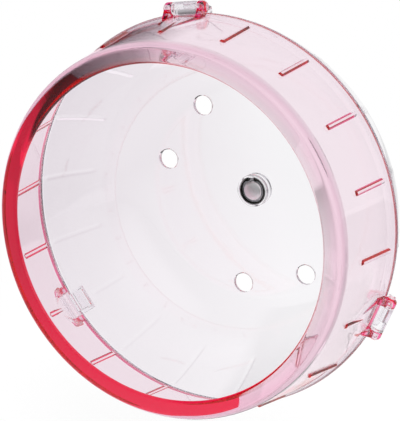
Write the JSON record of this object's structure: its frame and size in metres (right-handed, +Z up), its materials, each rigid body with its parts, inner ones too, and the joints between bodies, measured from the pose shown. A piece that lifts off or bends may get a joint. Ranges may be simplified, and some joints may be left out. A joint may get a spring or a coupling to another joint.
{
  "type": "hamster wheel",
  "caption": "Transparent running wheel for a small pet: a pink front ring with a rounded open mouth, latched to a clear ribbed rear bowl that turns on a bearing hub.",
  "frame": {"origin": "centre of the rear end face of the axle pin", "axes": "+Y along the axle towards the back, so the open mouth faces -Y; +Z up; +X to the right seen from the mouth"},
  "size_m": [0.1784, 0.0937, 0.1826],
  "materials": {
    "pink_plastic": "polished moulded transparent polystyrene, tinted pink",
    "clear_plastic": "polished moulded clear polystyrene",
    "bearing_steel": "ground and pressed bright steel",
    "ball_steel": "polished steel balls",
    "cage_nylon": "natural moulded nylon",
    "spring_steel": "blackened spring steel",
    "pin_steel": "polished steel"
  },
  "bodies": {
    "axle": {"axle_pin": "pin_steel", "axle_snap_ring": "spring_steel", "bearing_inner_race": "bearing_steel"},
    "wheel": {"front_ring": "pink_plastic", "rear_bowl": "clear_plastic", "bearing_outer_race": "bearing_steel", "bearing_shield_front": "bearing_steel", "bearing_shield_rear": "bearing_steel", "bearing_snap_ring": "spring_steel"},
    "ball_cage": {"bearing_cage": "cage_nylon", "bearing_ball_1": "ball_steel", "bearing_ball_2": "ball_steel", "bearing_ball_3": "ball_steel", "bearing_ball_4": "ball_steel", "bearing_ball_5": "ball_steel", "bearing_ball_6": "ball_steel", "bearing_ball_7": "ball_steel", "bearing_ball_8": "ball_steel"},
    "latch_1": {"latch_1": "clear_plastic"},
    "latch_2": {"latch_2": "clear_plastic"},
    "latch_3": {"latch_3": "clear_plastic"}
  },
  "joints": [
    {"name": "wheel_spin", "type": "hinge", "parent": "axle", "child": "wheel", "pos_m": [0, 0, 0], "axis": [0, 1, 0], "continuous": true},
    {"name": "cage_turn", "type": "hinge", "parent": "axle", "child": "ball_cage", "pos_m": [0, 0, 0], "axis": [0, 1, 0], "continuous": true},
    {"name": "latch_1_swing", "type": "hinge", "parent": "wheel", "child": "latch_1", "pos_m": [-0.01056, -0.0524, 0.08988], "axis": [0.9932, 0, 0.1167], "range_deg": [0, 110]},
    {"name": "latch_2_swing", "type": "hinge", "parent": "wheel", "child": "latch_2", "pos_m": [0.08312, -0.0524, -0.0358], "axis": [-0.3955, 0, -0.9184], "range_deg": [0, 110]},
    {"name": "latch_3_swing", "type": "hinge", "parent": "wheel", "child": "latch_3", "pos_m": [-0.07256, -0.0524, -0.05409], "axis": [-0.5976, 0, 0.8018], "range_deg": [0, 110]}
  ],
  "couplings": [
    {"joint": "cage_turn", "follows": "wheel_spin", "ratio": 0.5778}
  ]
}
